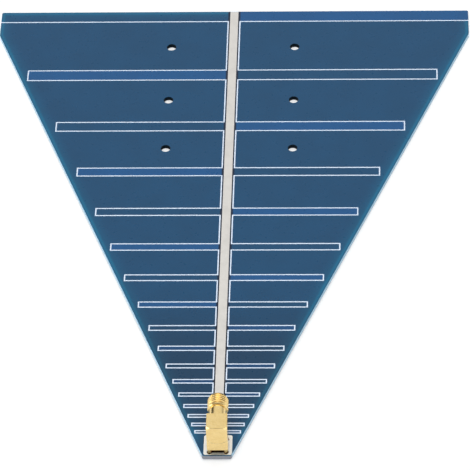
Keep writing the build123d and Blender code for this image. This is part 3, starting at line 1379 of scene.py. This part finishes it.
@dataclass(frozen=True)
class SoftPanel:
    """A large soft panel of the studio, far enough away to count as a direction.

    Attributes:
        towards: direction of its middle.
        radiance: its brightness.
        full: angle from its middle up to which it is fully bright, in degrees.
        end: angle at which it has faded out, in degrees.
    """

    towards: tuple[float, float, float]
    radiance: float
    full: float
    end: float

    def drawn(self, pattern: Pattern, around: float) -> Socket:
        """Draws the panel's brightness over all directions.

        Args:
            pattern: the room's pattern, which follows the direction.
            around: the brightness away from the panel.

        Returns:
            The brightness, which rises smoothly from there to the panel's own.
        """
        middle = Vector(self.towards).normalized()
        turned = pattern.add("VectorMath", pattern.place, middle, out="Value", operation="DOT_PRODUCT")
        end, full = (math.cos(math.radians(angle)) for angle in (self.end, self.full))
        return pattern.add("MapRange", turned, end, full, around, self.radiance, **SMOOTH)


@dataclass
class Studio:
    """Pale table in a dim room, with soft panels, a dark card and a lamp at the left.

    The panels stand behind, where glosses reflect them, overhead, low in front, at the left and at the right
    behind. The board rests on the socket's leg tips and on its wide edge, so the table rises a little
    towards that edge.

    Attributes:
        table_half: half width of the table.
        legs_y: where the leg tips stand on the table.
        edge_y: where the board's wide edge lies on it.
        underside: height of the board's underside above the leg tips.
        room: brightness of the room.
        panels: the soft panels.
        dark_card: a card at the left behind, whose radiance is the share of the light that it lets past.
        lamp_power: power of the lamp in watts.
        lamp_place: its place.
        lamp_size: its side.
    """

    table_half: float = 2500.0
    legs_y: float = -99.3
    edge_y: float = 100.3
    underside: float = 0.49
    room: float = 0.3
    panels: tuple[SoftPanel, ...] = (
        SoftPanel((0.08, 0.70, 0.71), 0.98, 34.0, 44.0),
        SoftPanel((0.0, -0.1, 1.0), 3.02, 20.0, 34.0),
        SoftPanel((0.0, -0.5, -0.866), 1.5, 80.0, 92.0),
        SoftPanel((-0.95, -0.3, 0.1), 4.2, 15.0, 30.0),
        SoftPanel((0.695, 0.698, 0.17), 0.6, 10.0, 26.0),
    )
    dark_card: SoftPanel = SoftPanel((-0.695, 0.698, 0.17), 0.1, 5.0, 13.0)
    lamp_power: float = 0.6
    lamp_place: tuple[float, float, float] = (-700.0, -500.0, 1200.0)
    lamp_size: float = 900.0

    def build(self) -> None:
        """Builds table and lights."""
        form = bmesh.new()
        bmesh.ops.create_grid(form, x_segments=1, y_segments=1, size=self.table_half * MM)
        slope = self.underside / (self.edge_y - self.legs_y)
        for corner in form.verts:
            corner.co.z = slope * (corner.co.y - self.legs_y * MM)
        table = new_piece("table", form)
        table.data.materials.append(TableTop().material())
        self.light_room()
        self.hang_lamp()
        log.info("studio: table and lights")

    def light_room(self) -> None:
        """Makes the room's own light, its panels and the card that takes some of it away."""
        world = bpy.data.worlds.new("studio")
        world.use_nodes = True
        tree = world.node_tree
        background = tree.nodes["Background"]
        background.inputs["Color"].default_value = linear(WHITE)
        pattern = Pattern(tree, background, Follow.DIRECTION)
        brightness: Socket | float = self.room
        for panel in self.panels:
            lit = panel.drawn(pattern, self.room)
            brightness = pattern.add("Math", brightness, lit, operation="MAXIMUM")
        let_past = self.dark_card.drawn(pattern, 1.0)
        pattern.feed("Strength", pattern.add("Math", brightness, let_past, operation="MULTIPLY"))
        bpy.context.scene.world = world

    def hang_lamp(self) -> None:
        """Hangs a square soft lamp that faces the board."""
        light = bpy.data.lights.new("lamp", "AREA")
        light.energy = self.lamp_power
        light.size = self.lamp_size * MM
        lamp = bpy.data.objects.new("lamp", light)
        lamp.location = Vector(self.lamp_place) * MM
        lamp.rotation_euler = (-lamp.location).to_track_quat("-Z", "Y").to_euler()
        bpy.context.scene.collection.objects.link(lamp)


@dataclass
class PhotoCamera:
    """The camera at the photograph's viewing angle.

    Attributes:
        target: point on the board's top face in the middle of the picture.
        distance: from the camera to the target.
        azimuth: turn of the viewing direction from +Y, in degrees.
        elevation: height of the camera above the horizon, in degrees.
        roll: turn of the camera about its own axis, in degrees.
        focal_pixels: focal length in pixels of the picture.
        picture_pixels: side of the picture.
        sensor: width of the sensor.
        reach: how far the camera sees.
    """

    target: tuple[float, float, float] = (3.04, -7.22, 2.13)
    distance: float = 1051.0
    azimuth: float = 3.339
    elevation: float = 45.7
    roll: float = -2.516
    focal_pixels: float = 3266.0
    picture_pixels: float = 470.0
    sensor: float = 36.0
    reach: float = 50000.0

    def build(self) -> None:
        """Places the camera."""
        lens = bpy.data.cameras.new("photo camera")
        lens.sensor_width = self.sensor
        lens.lens = self.focal_pixels * self.sensor / self.picture_pixels
        lens.clip_end = self.reach * MM
        camera = bpy.data.objects.new("photo camera", lens)
        bpy.context.scene.collection.objects.link(camera)
        turn, lift, tilt = (math.radians(angle) for angle in (self.azimuth, self.elevation, self.roll))
        back = Vector((math.sin(turn) * math.cos(lift), -math.cos(turn) * math.cos(lift), math.sin(lift)))
        right = Vector((math.cos(turn), math.sin(turn), 0))
        up = back.cross(right)
        across = math.cos(tilt) * right + math.sin(tilt) * up
        upright = math.cos(tilt) * up - math.sin(tilt) * right
        place = (Vector(self.target) + back * self.distance) * MM
        turned = Matrix((across, upright, back)).transposed().to_4x4()
        camera.matrix_world = Matrix.Translation(place) @ turned
        bpy.context.scene.camera = camera


@dataclass
class Workshop:
    """Hands out the construction's nodes and one material for each finish.

    Attributes:
        nodes: the construction's nodes by name.
        ready: the materials made so far.
    """

    nodes: dict[str, Piece]
    ready: dict[Finish, bpy.types.Material] = field(default_factory=dict)

    def material(self, finish: Finish) -> bpy.types.Material:
        """Gives a finish's material, made once.

        Args:
            finish: the finish.

        Returns:
            Its material.
        """
        if finish not in self.ready:
            self.ready[finish] = finish.material()
        return self.ready[finish]

    def coat_node(self, node: str, finish: Finish) -> None:
        """Gives a node of the construction its finish.

        Args:
            node: name of the node.
            finish: its finish.
        """
        mesh = self.nodes[node].data
        if not mesh.materials:
            mesh.materials.append(None)
        for place in range(len(mesh.materials)):
            mesh.materials[place] = self.material(finish)
        log.info("%s: %s", node, finish.name)

    def finish_piece(self, piece: Piece, finish: Finish, stands_for: str) -> None:
        """Coats a new piece and puts it in the place of a node.

        Args:
            piece: the new piece.
            finish: its finish.
            stands_for: node that it replaces.
        """
        piece.data.materials.clear()
        piece.data.materials.append(self.material(finish))
        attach(piece, BODY)
        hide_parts(stands_for)
        log.info("%s: %s, %d faces", piece.name, finish.name, len(piece.data.polygons))


def main() -> None:
    """Loads the construction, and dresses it."""
    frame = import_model()
    bpy.context.scene.view_settings.view_transform = "Standard"
    workshop = Workshop(frame["nodes"])
    PhotoCamera().build()
    Studio().build()
    PrintedBoard().build(workshop)
    CoaxialSocket().build(workshop)
    SolderJoints().build(workshop)


if __name__ == "__main__":
    logging.basicConfig(level=logging.INFO, format="%(name)s: %(message)s")
    main()
